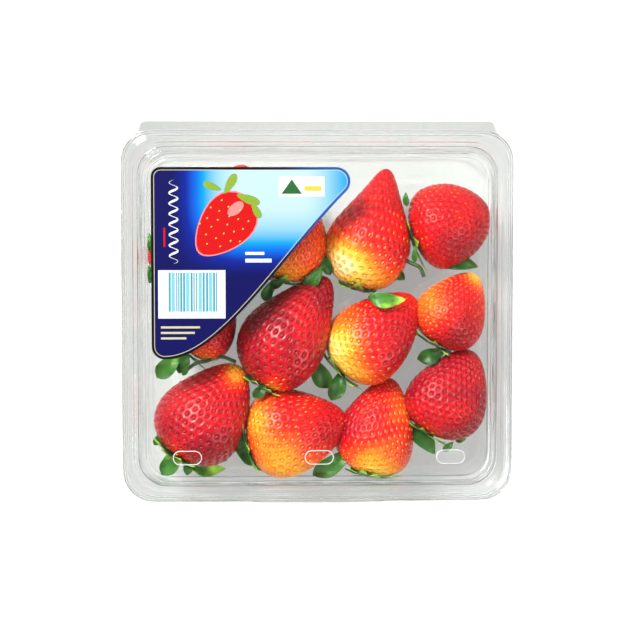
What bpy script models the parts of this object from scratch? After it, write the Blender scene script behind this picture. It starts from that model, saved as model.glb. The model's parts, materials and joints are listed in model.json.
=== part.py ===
"""Clear hinged punnet with strawberries: tray, hinged lid, label and one layer of fruit.

Frame: +X to the right, +Y towards the hinge, +Z up. The origin is on the table, under the middle of the pack.
All sizes are in metres.
"""

import math

import bmesh
import bpy
from mathutils import Vector

MM = 0.001

# The pack as seen from above.
PACK_HALF_X = 95.0 * MM
PACK_FRONT = -92.0 * MM
PACK_BACK = 88.6 * MM
CORNER_STEPS = 6

# The formed sheet and the heights of its levels.
SHEET = 0.7 * MM
AIR = 0.3 * MM
RIM_Z = 32.0 * MM
BEAD_RISE = 1.3 * MM
LID_TOP_Z = 52.0 * MM
FLOOR_RECESS = 1.5 * MM

# The lid's skirt hangs outside the tray's rim and fades out before the back corners.
SKIRT_DEPTH = 2.6 * MM
SKIRT_FULL_Y = 45.0 * MM
SKIRT_GONE_Y = 66.0 * MM

# Hinge strips along the back and the finger tab at the front.
HINGE_EDGE_Y = 92.7 * MM
HINGE_HALF_X = 83.0 * MM
HINGE_END_SLANT = 4.0 * MM
HINGE_STRIP = 0.5 * MM
TAB_HALF_X = 32.0 * MM
TAB_PROUD = 1.0 * MM
TAB_END_SLANT = 3.0 * MM

# Three vent slots near the lid's front edge.
SLOT_LENGTH = 13.5 * MM
SLOT_WIDTH = 6.5 * MM
SLOT_PITCH = 62.8 * MM
SLOT_Y = -67.6 * MM

# The label: a three-cornered sticker with one long, swept side.
LABEL_THICK = 0.3 * MM
LABEL_LEFT = -79.4 * MM
LABEL_BACK = 70.6 * MM
LABEL_CORNER = 4.5 * MM
LABEL_TIP = (8.0 * MM, 63.9 * MM)
LABEL_TIP_RADIUS = 6.7 * MM
LABEL_FOOT = (-73.2 * MM, -14.1 * MM)
LABEL_FOOT_RADIUS = 6.2 * MM
LABEL_SWEEP = ((-19.0 * MM, 27.0 * MM), (-47.0 * MM, -20.3 * MM))

# Each berry: where its green end and its tip stand on the plan, its width, and how high its two ends lie, in mm.
BERRIES = {
    "back_middle": ((21.9, 12.9), (35.2, 70.0), 43.5, 24.5, 22.0),
    "back_right": ((45.9, 35.6), (82.8, 49.2), 40.5, 23.0, 21.5),
    "back_label": ((-17.2, 17.2), (-5.5, 64.5), 40.5, 23.5, 22.5),
    "middle": ((-27.0, -30.4), (4.4, 17.0), 43.0, 25.5, 26.0),
    "middle_right": ((10.6, -27.4), (47.2, 6.0), 43.0, 24.5, 25.0),
    "right": ((58.3, -15.8), (77.6, 18.6), 38.0, 22.5, 23.5),
    "front_left": ((-65.2, -65.0), (-37.6, -26.5), 44.0, 24.8, 22.5),
    "front_middle": ((-31.6, -61.6), (14.6, -46.8), 44.5, 25.0, 24.0),
    "front_right": ((27.0, -79.4), (34.8, -33.3), 39.5, 22.5, 20.0),
    "right_front": ((54.0, -59.4), (77.0, -19.4), 41.0, 23.5, 20.5),
    "left": ((-62.5, -19.5), (-35.5, 7.5), 37.0, 21.2, 18.6),
    "back_left": ((-53.0, 27.6), (-34.6, 72.0), 37.0, 21.5, 19.0),
    "left_wall": ((-70.9, 35.5), (-60.1, 5.0), 33.5, 19.5, 17.5),
}
BERRY_SEGMENTS = 16
BERRY_RINGS = 11
BERRY_DEPTH = 0.95
BERRY_SHOULDER = 0.66
BERRY_FULLNESS = 0.6


def material(name, colour, roughness, transmission=0.0):
    made = bpy.data.materials.new(name)
    made.use_nodes = True
    shader = made.node_tree.nodes["Principled BSDF"]
    shader.inputs["Base Color"].default_value = (*colour, 1.0)
    shader.inputs["Roughness"].default_value = roughness
    shader.inputs["Metallic"].default_value = 0.0
    shader.inputs["Transmission Weight"].default_value = transmission
    return made


def add_object(name, bm, finish):
    """Turns a bmesh into an object with outward faces and smooth rounds."""
    bmesh.ops.recalc_face_normals(bm, faces=bm.faces)
    mesh = bpy.data.meshes.new(name)
    bm.to_mesh(mesh)
    bm.free()
    mesh.materials.append(finish)
    mesh.shade_smooth()
    mesh.set_sharp_from_angle(angle=math.radians(35.0))
    made = bpy.data.objects.new(name, mesh)
    bpy.context.scene.collection.objects.link(made)
    return made


def add_boolean(target, other, operation):
    """Joins or cuts with another object, which then counts as a cutter only."""
    step = target.modifiers.new(f"{operation.lower()}_{other.name}", "BOOLEAN")
    step.operation = operation
    step.object = other
    other.hide_render = True
    other.display_type = "WIRE"


def arc(centre, radius, start_deg, end_deg, steps):
    """Points from one angle to another round a centre, both ends included."""
    points = []
    for step in range(steps + 1):
        angle = math.radians(start_deg + (end_deg - start_deg) * step / steps)
        points.append((centre[0] + radius * math.cos(angle), centre[1] + radius * math.sin(angle)))
    return points


def pack_outline(inset, radius):
    """The pack's rounded outline, drawn in by inset, anticlockwise from the right side's back corner."""
    x = PACK_HALF_X - inset - radius
    back = PACK_BACK - inset - radius
    front = PACK_FRONT + inset + radius
    centres = ((x, back), (-x, back), (-x, front), (x, front))
    points = []
    for quarter, centre in enumerate(centres):
        points += arc(centre, radius, 90.0 * quarter, 90.0 * quarter + 90.0, CORNER_STEPS)
    return points


def loft(name, profile, finish):
    """Skins rings of (inset, corner radius, height), in mm, and closes the first and last with flat faces.

    A height may be a function of the plan position, for an edge that rises and falls along the rim.
    """
    bm = bmesh.new()
    rings = []
    for inset, radius, height in profile:
        ring = []
        for x, y in pack_outline(inset * MM, radius * MM):
            z = height(x, y) if callable(height) else height * MM
            ring.append(bm.verts.new((x, y, z)))
        rings.append(ring)
    for lower, upper in zip(rings, rings[1:]):
        for index in range(len(lower)):
            after = (index + 1) % len(lower)
            bm.faces.new((lower[index], lower[after], upper[after], upper[index]))
    bm.faces.new(rings[0])
    bm.faces.new(rings[-1])
    return add_object(name, bm, finish)


def slab(name, outline, low, high, finish):
    """A flat plate with the given outline, from one height to another."""
    bm = bmesh.new()
    face = bm.faces.new([bm.verts.new((x, y, low)) for x, y in outline])
    raised = bmesh.ops.extrude_face_region(bm, geom=[face])["geom"]
    moved = [item for item in raised if isinstance(item, bmesh.types.BMVert)]
    bmesh.ops.translate(bm, verts=moved, vec=(0.0, 0.0, high - low))
    return add_object(name, bm, finish)


def tongue(half_x, root_y, edge_y, slant):
    """The plan of a strip that stands out from the rim, with slanted ends."""
    return [(-half_x, root_y), (half_x, root_y), (half_x - slant, edge_y), (-half_x + slant, edge_y)]


def skirt_height(x, y):
    """The skirt's lower edge: deep round the front and sides, flush with the flange at the back."""
    share = min(1.0, max(0.0, (y - SKIRT_FULL_Y) / (SKIRT_GONE_Y - SKIRT_FULL_Y)))
    eased = share * share * (3.0 - 2.0 * share)
    deep = RIM_Z + AIR - SKIRT_DEPTH
    flush = RIM_Z + AIR
    return deep + (flush - deep) * eased


def make_tray(finish):
    rim = RIM_Z / MM
    under = rim - SHEET / MM
    rise = BEAD_RISE / MM
    recess = FLOOR_RECESS / MM
    thick = SHEET / MM
    outside = [
        (25.5, 12.0, recess),
        (24.0, 12.5, 0.0),
        (14.6, 15.5, 0.0),
        (12.4, 16.0, 0.7),
        (11.7, 16.0, 2.6),
        (10.5, 15.2, 19.0),
        (9.3, 14.8, 20.4),
        (8.6, 14.5, under - 0.8),
        (7.6, 14.3, under),
        (5.6, 13.8, under),
        (5.0, 14.0, under + rise),
        (3.4, 15.0, under + rise),
        (2.8, 15.2, under),
        (1.8, 16.0, under),
        (1.7, 16.1, under - 1.0),
        (1.0, 16.6, under - 1.0),
        (1.0, 16.6, rim - 0.3),
        (1.3, 16.4, rim),
    ]
    inside = [
        (2.5, 15.2, rim),
        (3.1, 15.0, rim + rise),
        (5.3, 14.0, rim + rise),
        (5.9, 13.8, rim),
        (7.9, 14.2, rim),
        (9.0, 14.1, rim - 1.0),
        (10.0, 14.2, 20.6),
        (11.2, 14.6, 19.2),
        (12.4, 15.2, 3.0),
        (13.2, 15.2, 1.2),
        (14.8, 15.0, thick),
        (23.4, 12.4, thick),
        (25.0, 11.8, recess + thick),
    ]
    tray = loft("tray", outside + inside, finish)
    middle = RIM_Z - SHEET / 2.0
    strip = slab(
        "tray_strip",
        tongue(HINGE_HALF_X, PACK_BACK - 2.4 * MM, HINGE_EDGE_Y, HINGE_END_SLANT),
        middle - HINGE_STRIP / 2.0,
        middle + HINGE_STRIP / 2.0,
        finish,
    )
    add_boolean(tray, strip, "UNION")
    return tray


def make_lid(finish):
    low = (RIM_Z + AIR) / MM
    top = low + SHEET / MM
    rise = BEAD_RISE / MM
    crown = LID_TOP_Z / MM
    thick = SHEET / MM
    outside = [
        (14.6, 13.2, crown),
        (12.9, 14.2, crown - 0.4),
        (12.0, 14.6, crown - 1.5),
        (9.6, 14.6, 42.5),
        (8.3, 14.4, top + 0.9),
        (7.5, 14.3, top),
        (6.5, 13.8, top),
        (5.9, 14.0, top + rise),
        (2.5, 15.2, top + rise),
        (1.9, 15.6, top),
        (0.4, 17.2, top),
        (0.0, 17.5, top - 0.4),
        (0.0, 17.5, skirt_height),
    ]
    inside = [
        (0.7, 16.9, skirt_height),
        (0.9, 16.7, low + 0.02),
        (2.2, 15.4, low),
        (2.8, 15.1, low + rise),
        (5.6, 14.0, low + rise),
        (6.2, 13.8, low),
        (8.0, 14.2, low),
        (8.9, 14.3, top + 0.6),
        (10.3, 14.5, 42.5),
        (12.7, 14.4, crown - 1.9),
        (13.4, 14.0, crown - 1.1),
        (14.8, 13.0, crown - thick),
    ]
    lid = loft("lid", outside + inside, finish)
    middle = RIM_Z + AIR + SHEET / 2.0
    strip = slab(
        "lid_strip",
        tongue(HINGE_HALF_X, PACK_BACK - 2.0 * MM, HINGE_EDGE_Y, HINGE_END_SLANT),
        middle - HINGE_STRIP / 2.0,
        middle + HINGE_STRIP / 2.0,
        finish,
    )
    tab = slab(
        "lid_tab",
        tongue(TAB_HALF_X, PACK_FRONT + 0.4 * MM, PACK_FRONT - TAB_PROUD, TAB_END_SLANT),
        RIM_Z + AIR - SKIRT_DEPTH + 0.3 * MM,
        RIM_Z + AIR + SHEET - 0.6 * MM,
        finish,
    )
    add_boolean(lid, strip, "UNION")
    add_boolean(lid, tab, "UNION")
    for place in (-1, 0, 1):
        add_boolean(lid, make_slot_cutter(place, finish), "DIFFERENCE")
    return lid


def make_slot_cutter(place, finish):
    """A tall pill shape that cuts one vent slot through the lid's panel."""
    radius = SLOT_WIDTH / 2.0
    reach = SLOT_LENGTH / 2.0 - radius
    x = place * SLOT_PITCH
    right = arc((x + reach, SLOT_Y), radius, -90.0, 90.0, CORNER_STEPS)
    left = arc((x - reach, SLOT_Y), radius, 90.0, 270.0, CORNER_STEPS)
    return slab(f"slot_cutter_{place + 1}", right + left, LID_TOP_Z - 3.0 * MM, LID_TOP_Z + 3.0 * MM, finish)


def bezier(start, first, second, end, steps):
    """Points inside one cubic curve, both ends left out."""
    points = []
    for step in range(1, steps):
        t = step / steps
        weights = ((1 - t) ** 3, 3 * t * (1 - t) ** 2, 3 * t * t * (1 - t), t**3)
        corners = (start, first, second, end)
        points.append(tuple(sum(w * c[axis] for w, c in zip(weights, corners)) for axis in (0, 1)))
    return points


def make_label(finish):
    corner = (LABEL_LEFT + LABEL_CORNER, LABEL_BACK - LABEL_CORNER)
    tip = arc(LABEL_TIP, LABEL_TIP_RADIUS, 90.0, -46.0, CORNER_STEPS)
    foot = arc(LABEL_FOOT, LABEL_FOOT_RADIUS, -90.0, -180.0, CORNER_STEPS)
    outline = arc(corner, LABEL_CORNER, 180.0, 90.0, CORNER_STEPS)
    outline += tip
    outline += bezier(tip[-1], *LABEL_SWEEP, foot[0], 12)
    outline += foot
    low = LID_TOP_Z + AIR
    return slab("label", outline, low, low + LABEL_THICK, finish)


def berry_radius(share):
    """A berry's radius at a share of the way from its green end to its tip, as a share of its half width."""
    return math.sin(math.pi * share**BERRY_SHOULDER) ** BERRY_FULLNESS


def make_berry(name, plan, finish):
    """One berry: a sphere drawn out to a blunt cone, with its green end at the object's origin."""
    green_end, tip, width, green_z, tip_z = plan
    start = Vector((*green_end, green_z)) * MM
    end = Vector((*tip, tip_z)) * MM
    length = (end - start).length
    bm = bmesh.new()
    bmesh.ops.create_uvsphere(bm, u_segments=BERRY_SEGMENTS, v_segments=BERRY_RINGS, radius=1.0)
    for vert in bm.verts:
        share = math.acos(max(-1.0, min(1.0, -vert.co.z))) / math.pi
        round_part = math.hypot(vert.co.x, vert.co.y)
        if round_part > 1e-6:
            radius = berry_radius(share) * width * MM / 2.0
            vert.co.x *= radius / round_part
            vert.co.y *= radius * BERRY_DEPTH / round_part
        vert.co.z = share * length
    berry = add_object(name, bm, finish)
    berry.location = start
    berry.rotation_mode = "QUATERNION"
    berry.rotation_quaternion = (end - start).to_track_quat("Z", "Y")
    return berry


def make_strawberries(finish):
    """The whole layer as one solid: every berry is joined to its neighbours where they press together."""
    names = list(BERRIES)
    heap = make_berry("strawberries", BERRIES[names[0]], finish)
    for name in names[1:]:
        add_boolean(heap, make_berry(name, BERRIES[name], finish), "UNION")
    return heap


def clear_scene():
    for old in list(bpy.data.objects):
        bpy.data.objects.remove(old, do_unlink=True)


def main():
    clear_scene()
    clear_sheet = material("clear_pet", (0.86, 0.89, 0.88), 0.05, transmission=1.0)
    print_sheet = material("printed_label", (0.02, 0.07, 0.42), 0.3)
    fruit = material("strawberry_flesh", (0.62, 0.03, 0.04), 0.3)

    hinge = bpy.data.objects.new("hinge_line", None)
    hinge.location = (0.0, HINGE_EDGE_Y + AIR / 2.0, RIM_Z + AIR / 2.0)
    bpy.context.scene.collection.objects.link(hinge)
    bpy.context.view_layer.update()

    make_tray(clear_sheet)
    make_strawberries(fruit)
    for piece in (make_lid(clear_sheet), make_label(print_sheet)):
        piece.parent = hinge
        piece.matrix_parent_inverse = hinge.matrix_world.inverted()


main()
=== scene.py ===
# %% [markdown]
# # A clear punnet of strawberries
# The pack is a tray and a lid pressed from one clear sheet, joined along the back by a bent strip. It
# holds one layer of ripe strawberries and carries a three-cornered paper label. The solids from the
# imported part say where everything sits; this file gives them their looks. Units are metres, +X right, +Y
# to the hinge, +Z up.

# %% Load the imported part
import json
import math

import bmesh
import bpy
import numpy as np
from mathutils import Matrix, Vector
from mathutils.kdtree import KDTree


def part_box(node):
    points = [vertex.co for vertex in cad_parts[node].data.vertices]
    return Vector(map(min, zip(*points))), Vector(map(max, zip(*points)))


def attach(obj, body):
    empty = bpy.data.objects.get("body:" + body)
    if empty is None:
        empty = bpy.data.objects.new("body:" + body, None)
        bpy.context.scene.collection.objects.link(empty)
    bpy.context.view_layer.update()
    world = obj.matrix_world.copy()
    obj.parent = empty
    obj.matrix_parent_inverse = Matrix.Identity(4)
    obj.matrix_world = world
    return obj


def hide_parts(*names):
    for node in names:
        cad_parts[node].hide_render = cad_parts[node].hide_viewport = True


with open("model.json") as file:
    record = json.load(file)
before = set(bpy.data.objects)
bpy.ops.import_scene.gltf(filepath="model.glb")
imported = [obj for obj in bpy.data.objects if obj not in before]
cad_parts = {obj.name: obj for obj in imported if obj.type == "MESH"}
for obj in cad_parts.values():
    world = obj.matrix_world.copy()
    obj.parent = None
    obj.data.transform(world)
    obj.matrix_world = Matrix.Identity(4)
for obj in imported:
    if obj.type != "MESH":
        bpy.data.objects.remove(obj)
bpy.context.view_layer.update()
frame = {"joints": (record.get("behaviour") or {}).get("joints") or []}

MM = 0.001
tray_low, tray_high = (Vector(corner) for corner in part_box("tray"))
lid_low, lid_high = (Vector(corner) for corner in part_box("lid"))
label_low, label_high = (Vector(corner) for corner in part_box("label"))
print("tray", tray_low, tray_high, "lid", lid_low, lid_high)

# %% [markdown]
# ## Small helpers
# Operators act on whatever is selected, so every step first clears the selection and then picks its own
# object. A finished piece keeps its place in its mesh, so its object is moved back to the origin at the
# end.


# %% Selection, edit mode and finishing helpers
def pick(piece):
    """Selects one object and nothing else."""
    if bpy.context.object and bpy.context.object.mode != "OBJECT":
        bpy.ops.object.mode_set(mode="OBJECT")
    bpy.ops.object.select_all(action="DESELECT")
    piece.select_set(True)
    bpy.context.view_layer.objects.active = piece


def edit(piece, kind="VERT"):
    """Opens a piece for editing with nothing selected."""
    pick(piece)
    bpy.ops.object.mode_set(mode="EDIT")
    bpy.ops.mesh.select_mode(type=kind)
    bpy.ops.mesh.select_all(action="DESELECT")


def close():
    bpy.ops.object.mode_set(mode="OBJECT")


def choose(piece, test, kind="verts"):
    """In edit mode, selects the vertices, edges or faces whose place passes a test, and returns how many."""
    bm = bmesh.from_edit_mesh(piece.data)
    found = 0
    for item in getattr(bm, kind):
        if kind == "verts":
            place = item.co
        elif kind == "edges":
            place = (item.verts[0].co + item.verts[1].co) / 2.0
        else:
            place = item.calc_center_median()
        if test(place):
            item.select_set(True)
            found += 1
    bm.select_flush_mode()
    bmesh.update_edit_mesh(piece.data)
    return found


def use_modifier(piece, kind, **settings):
    """Adds a modifier with its settings and applies it at once."""
    pick(piece)
    step = piece.modifiers.new(kind.title(), kind)
    for key, value in settings.items():
        setattr(step, key, value)
    bpy.ops.object.modifier_apply(modifier=step.name)


def settle(piece, name, material):
    """Names a piece, gives it its finish and puts its place into its mesh."""
    pick(piece)
    bpy.ops.object.transform_apply(location=True, rotation=True, scale=True)
    piece.name = name
    piece.data.name = name
    piece.data.materials.clear()
    piece.data.materials.append(material)
    return piece


def arc(x, y, radius, start, end, steps):
    angles = [math.radians(start + (end - start) * i / steps) for i in range(steps + 1)]
    return [(x + radius * math.cos(a), y + radius * math.sin(a)) for a in angles]


def mesh_piece(name, points, faces, material, smooth=True):
    """A joined mesh from arrays of points and faces."""
    data = bpy.data.meshes.new(name)
    data.from_pydata([tuple(p) for p in points], [], [tuple(int(i) for i in f) for f in faces])
    data.materials.append(material)
    piece = bpy.data.objects.new(name, data)
    bpy.context.scene.collection.objects.link(piece)
    if smooth:
        data.shade_smooth()
    return piece


# %% [markdown]
# ## Materials
# Colours are written as the hex values a painter would pick on screen, and one function turns them to the
# linear values that Blender mixes. One more function adds a node with its settings and its links.


# %% Colour and node helpers
def linear(code):
    """Turns an sRGB hex colour to linear RGBA."""
    parts = [int(code[i : i + 2], 16) / 255.0 for i in (1, 3, 5)]
    return [c / 12.92 if c <= 0.04045 else ((c + 0.055) / 1.055) ** 2.4 for c in parts] + [1.0]


def new_material(name):
    made = bpy.data.materials.new(name)
    made.use_nodes = True
    made.node_tree.nodes.clear()
    return made


def node(material, kind, settings=None, **links):
    """Adds a node, sets its properties and inputs, and links the sockets given by name or number."""
    made = material.node_tree.nodes.new(kind)
    for key, value in (settings or {}).items():
        if key in made.inputs:
            made.inputs[key].default_value = value
        else:
            setattr(made, key, value)
    for key, socket in links.items():
        place = int(key[1:]) if key[0] == "i" and key[1:].isdigit() else key.replace("_", " ")
        material.node_tree.links.new(socket, made.inputs[place])
    return made


def ramp(material, factor, stops, mode="LINEAR"):
    """A colour ramp from (position, hex) stops."""
    made = node(material, "ShaderNodeValToRGB", Fac=factor)
    made.color_ramp.interpolation = mode
    elements = made.color_ramp.elements
    while len(elements) < len(stops):
        elements.new(1.0)
    for element, (place, code) in zip(elements, stops):
        element.position = place
        element.color = linear(code)
    return made.outputs["Color"]


# %% [markdown]
# ### Clear PET sheet
# The pack is polyethylene terephthalate, drawn over a mould while hot. It is almost colourless with a
# trace of grey-green, has an IOR of 1.57 and stays glossy. Forming leaves it a little wavy, which breaks
# up reflections. Lamps would stop at refracting plastic, so for shadow rays the sheet is simply
# see-through.


# %% The clear sheet
def clear_pet():
    made = new_material("clear_PET_sheet_thermoformed")
    place = node(made, "ShaderNodeTexCoord").outputs["Object"]
    waves = node(made, "ShaderNodeTexNoise", {"Scale": 70.0, "Detail": 1.0}, Vector=place)
    bump = node(made, "ShaderNodeBump", {"Strength": 0.25, "Distance": 0.0006}, Height=waves.outputs["Fac"])
    sheet = node(
        made,
        "ShaderNodeBsdfPrincipled",
        {"Base Color": linear("#fafbfa"), "Roughness": 0.03, "IOR": 1.57, "Transmission Weight": 1.0},
        Normal=bump.outputs["Normal"],
    )
    open_way = node(made, "ShaderNodeBsdfTransparent", {"Color": linear("#fbfcfb")})
    path = node(made, "ShaderNodeLightPath")
    mix = node(
        made,
        "ShaderNodeMixShader",
        Fac=path.outputs["Is Shadow Ray"],
        i1=sheet.outputs["BSDF"],
        i2=open_way.outputs["BSDF"],
    )
    node(made, "ShaderNodeOutputMaterial", Surface=mix.outputs["Shader"])
    return made


PET = clear_pet()

# %% [markdown]
# ### Strawberry skin
# Ripe skin is deep red and moist, with a clear gloss over flesh that glows a little when light enters it.
# Unripe shoulders run through orange and yellow to cream. Each berry's mesh carries that ripeness as a
# number from 0 (cream) to 1 (dark red), where some darker patches are painted shade, and a ramp turns it
# to colour. Fine noise makes the change uneven.


# %% Strawberry skin and seeds
def strawberry_skin():
    made = new_material("ripe_strawberry_skin")
    ripe_with_shade = node(made, "ShaderNodeAttribute", {"attribute_name": "ripeness_with_shade"}).outputs["Fac"]
    pit_shade = node(made, "ShaderNodeAttribute", {"attribute_name": "pit_shade"}).outputs["Fac"]
    place = node(made, "ShaderNodeTexCoord").outputs["Object"]
    mottle = node(made, "ShaderNodeTexNoise", {"Scale": 260.0, "Detail": 3.0}, Vector=place)
    shift = node(made, "ShaderNodeMath", {"operation": "MULTIPLY_ADD"}, i0=mottle.outputs["Fac"])
    shift.inputs[1].default_value = 0.16
    shift.inputs[2].default_value = -0.08
    uneven = node(made, "ShaderNodeMath", {"operation": "ADD"}, i0=ripe_with_shade, i1=shift.outputs[0])
    colour = ramp(
        made,
        uneven.outputs[0],
        [
            (0.0, "#f7e6ae"),
            (0.16, "#f8c84e"),
            (0.32, "#f6961c"),
            (0.5, "#ef4d10"),
            (0.66, "#de1410"),
            (0.82, "#c20414"),
            (1.0, "#8c031c"),
        ],
    )
    # Painted shade: the skin colour is darkened around each seed hollow, where shade falls.
    pit_shade_tint = node(made, "ShaderNodeMix", {"data_type": "RGBA", "blend_type": "MULTIPLY"}, i0=pit_shade)
    made.node_tree.links.new(colour, pit_shade_tint.inputs[6])
    pit_shade_tint.inputs[7].default_value = linear("#f0bca8")
    grain = node(made, "ShaderNodeTexNoise", {"Scale": 1500.0, "Detail": 2.0}, Vector=place)
    bump = node(made, "ShaderNodeBump", {"Strength": 0.15, "Distance": 0.0002}, Height=grain.outputs["Fac"])
    skin = node(
        made,
        "ShaderNodeBsdfPrincipled",
        {
            "Roughness": 0.3,
            "IOR": 1.33,
            "Subsurface Weight": 0.05,
            "Subsurface Radius": (1.0, 0.25, 0.12),
            "Subsurface Scale": 0.003,
            "Coat Weight": 0.4,
            "Coat Roughness": 0.05,
        },
        Base_Color=pit_shade_tint.outputs[2],
        Normal=bump.outputs["Normal"],
    )
    node(made, "ShaderNodeOutputMaterial", Surface=skin.outputs["BSDF"])
    return made


def seed_husk():
    made = new_material("strawberry_seed_husk")
    ripe_with_shade = node(made, "ShaderNodeAttribute", {"attribute_name": "ripeness_with_shade"}).outputs["Fac"]
    place = node(made, "ShaderNodeTexCoord").outputs["Object"]
    spots = node(made, "ShaderNodeTexNoise", {"Scale": 220.0, "Detail": 1.0}, Vector=place)
    both = node(made, "ShaderNodeMath", {"operation": "MULTIPLY_ADD"}, i0=spots.outputs["Fac"], i2=ripe_with_shade)
    both.inputs[1].default_value = 0.5
    stops = [(0.3, "#eec05a"), (0.8, "#eda23c"), (1.1, "#dc7a28"), (1.4, "#a83a1c")]
    colour = ramp(made, both.outputs[0], stops)
    husk = node(made, "ShaderNodeBsdfPrincipled", {"Roughness": 0.35}, Base_Color=colour)
    node(made, "ShaderNodeOutputMaterial", Surface=husk.outputs["BSDF"])
    return made


SKIN = strawberry_skin()
HUSK = seed_husk()

# %% [markdown]
# ### Leaf and stem
# The green cap is a ring of small pointed leaves. Fresh ones are mid green with paler edges and a soft
# sheen. The stem is a smoother, deeper green.


# %% Leaf and stem
def green_leaf(name, dark, middle, bright):
    made = new_material(name)
    along = node(made, "ShaderNodeAttribute", {"attribute_name": "along"}).outputs["Fac"]
    place = node(made, "ShaderNodeTexCoord").outputs["Object"]
    cells = node(made, "ShaderNodeTexNoise", {"Scale": 180.0, "Detail": 4.0}, Vector=place)
    shift = node(made, "ShaderNodeMath", {"operation": "MULTIPLY_ADD"}, i0=cells.outputs["Fac"], i2=along)
    shift.inputs[1].default_value = 0.7
    colour = ramp(made, shift.outputs[0], [(0.25, dark), (0.75, middle), (1.35, bright)])
    bump = node(made, "ShaderNodeBump", {"Strength": 0.5, "Distance": 0.0005}, Height=cells.outputs["Fac"])
    leaf = node(
        made,
        "ShaderNodeBsdfPrincipled",
        {"Roughness": 0.38, "IOR": 1.42},
        Base_Color=colour,
        Normal=bump.outputs["Normal"],
    )
    node(made, "ShaderNodeOutputMaterial", Surface=leaf.outputs["BSDF"])
    return made


LEAF = green_leaf("strawberry_cap_leaf", "#17330f", "#3d7a24", "#a0cc42")
STEM = green_leaf("strawberry_stem", "#2c3f24", "#456238", "#7d9454")

# %% [markdown]
# ## The clear lid
# The real lid is one sheet with a flat panel, sloping walls, a rim with a raised bead that snaps over the
# tray's bead, and a skirt that hangs outside it. By hand it is quickest to start from the flat panel,
# round its corners and then pull ring after ring out of its edge, each one sized to the next line of the
# mould.


# %% Ring-by-ring sheet forming
HALF_X = (lid_high.x - lid_low.x) / 2.0
FRONT = lid_low.y + 1.0 * MM
HINGE_Y = frame["joints"][0]["pos_m"][1]
BACK = HINGE_Y - 4.25 * MM
SHEET = 0.5 * MM
CORNER_SEGMENTS = 7
SIDE_CUTS = 9


def panel(inset, z, radius):
    """A flat sheet with rounded corners, drawn in from the pack's outline by inset."""
    size_x = 2.0 * (HALF_X - inset)
    size_y = BACK - FRONT - 2.0 * inset
    bpy.ops.object.select_all(action="DESELECT")
    bpy.ops.mesh.primitive_plane_add(size=1.0, location=(0.0, (BACK + FRONT) / 2.0, z))
    sheet = bpy.context.object
    sheet.scale = (size_x, size_y, 1.0)
    bpy.ops.object.transform_apply(location=True, rotation=True, scale=True)
    edit(sheet)
    bpy.ops.mesh.select_all(action="SELECT")
    bpy.ops.mesh.bevel(offset=radius, segments=CORNER_SEGMENTS, affect="VERTICES")
    bpy.ops.mesh.select_all(action="DESELECT")
    bm = bmesh.from_edit_mesh(sheet.data)
    for side in bm.edges:
        side.select_set(side.calc_length() > 0.05)
    bmesh.update_edit_mesh(sheet.data)
    bpy.ops.mesh.subdivide(number_cuts=SIDE_CUTS)
    bpy.ops.mesh.select_all(action="SELECT")
    bpy.ops.mesh.inset(thickness=1.2 * MM)
    bpy.ops.mesh.select_all(action="DESELECT")
    return sheet


def select_rim(sheet):
    """Selects the sheet's open edge."""
    bpy.ops.mesh.select_all(action="DESELECT")
    bm = bmesh.from_edit_mesh(sheet.data)
    for side in bm.edges:
        if side.is_boundary:
            side.select_set(True)
    bmesh.update_edit_mesh(sheet.data)


def pull_ring(sheet, inset, z):
    """Extrudes the open edge and fits the new ring to an inset and a height."""
    bpy.ops.mesh.extrude_region_move()
    bm = bmesh.from_edit_mesh(sheet.data)
    ring = np.array([v.co[:] for v in bm.verts if v.select])
    low, high = ring.min(axis=0), ring.max(axis=0)
    middle = (low + high) / 2.0
    size_x = 2.0 * (HALF_X - inset)
    size_y = BACK - FRONT - 2.0 * inset
    fit = (size_x / (high[0] - low[0]), size_y / (high[1] - low[1]), 1.0)
    bpy.ops.transform.resize(value=fit, center_override=tuple(middle))
    shift = (-middle[0], (BACK + FRONT) / 2.0 - middle[1], z - middle[2])
    bpy.ops.transform.translate(value=shift)


def form_sheet(name, start, rings):
    """Forms a sheet from its panel outwards; every ring is (inset, z) in mm."""
    sheet = panel(start[0] * MM, start[1] * MM, start[2] * MM)
    select_rim(sheet)
    for inset, z in rings:
        pull_ring(sheet, inset * MM, z * MM)
    print(name, "rings", len(rings), "faces", len(bmesh.from_edit_mesh(sheet.data).faces))
    return sheet


# %% [markdown]
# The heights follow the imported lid: its top, and the flange that lies on the tray's rim. The skirt is
# deep at the front and sides. At the back it is pushed up flush, or the lid could not swing open.

# %% Form the lid
TOP = label_low.z / MM - 0.3
FLANGE = 33.0
BEAD = 1.3
lid = form_sheet(
    "lid",
    (16.5, TOP, 12.5),
    [
        (14.6, TOP),
        (13.4, TOP - 0.25),
        (12.4, TOP - 1.1),
        (11.8, TOP - 2.6),
        (10.2, 45.0),
        (9.2, 38.5),
        (8.5, FLANGE + 1.6),
        (8.2, FLANGE + 0.4),
        (7.6, FLANGE),
        (6.7, FLANGE),
        (6.2, FLANGE + 0.3),
        (5.9, FLANGE + BEAD - 0.1),
        (5.3, FLANGE + BEAD + 0.1),
        (3.1, FLANGE + BEAD + 0.1),
        (2.5, FLANGE + BEAD - 0.1),
        (2.1, FLANGE + 0.2),
        (1.6, FLANGE),
        (0.6, FLANGE),
        (0.15, FLANGE - 0.2),
        (0.0, FLANGE - 0.8),
        (0.0, FLANGE - 3.2),
    ],
)
bpy.ops.mesh.select_all(action="DESELECT")
choose(lid, lambda p: p.z < (FLANGE - 0.9) * MM and p.y > 64.0 * MM)
bpy.ops.transform.translate(value=(0.0, 0.0, 2.3 * MM))
close()


# %% [markdown]
# The finger tab and the hinge strips are tongues of the same sheet. A few edges of the rim are selected
# by place and pulled out. After that the sheet gets its thickness, and a subdivision rounds every line as
# a warm sheet rounds over a mould.


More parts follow.
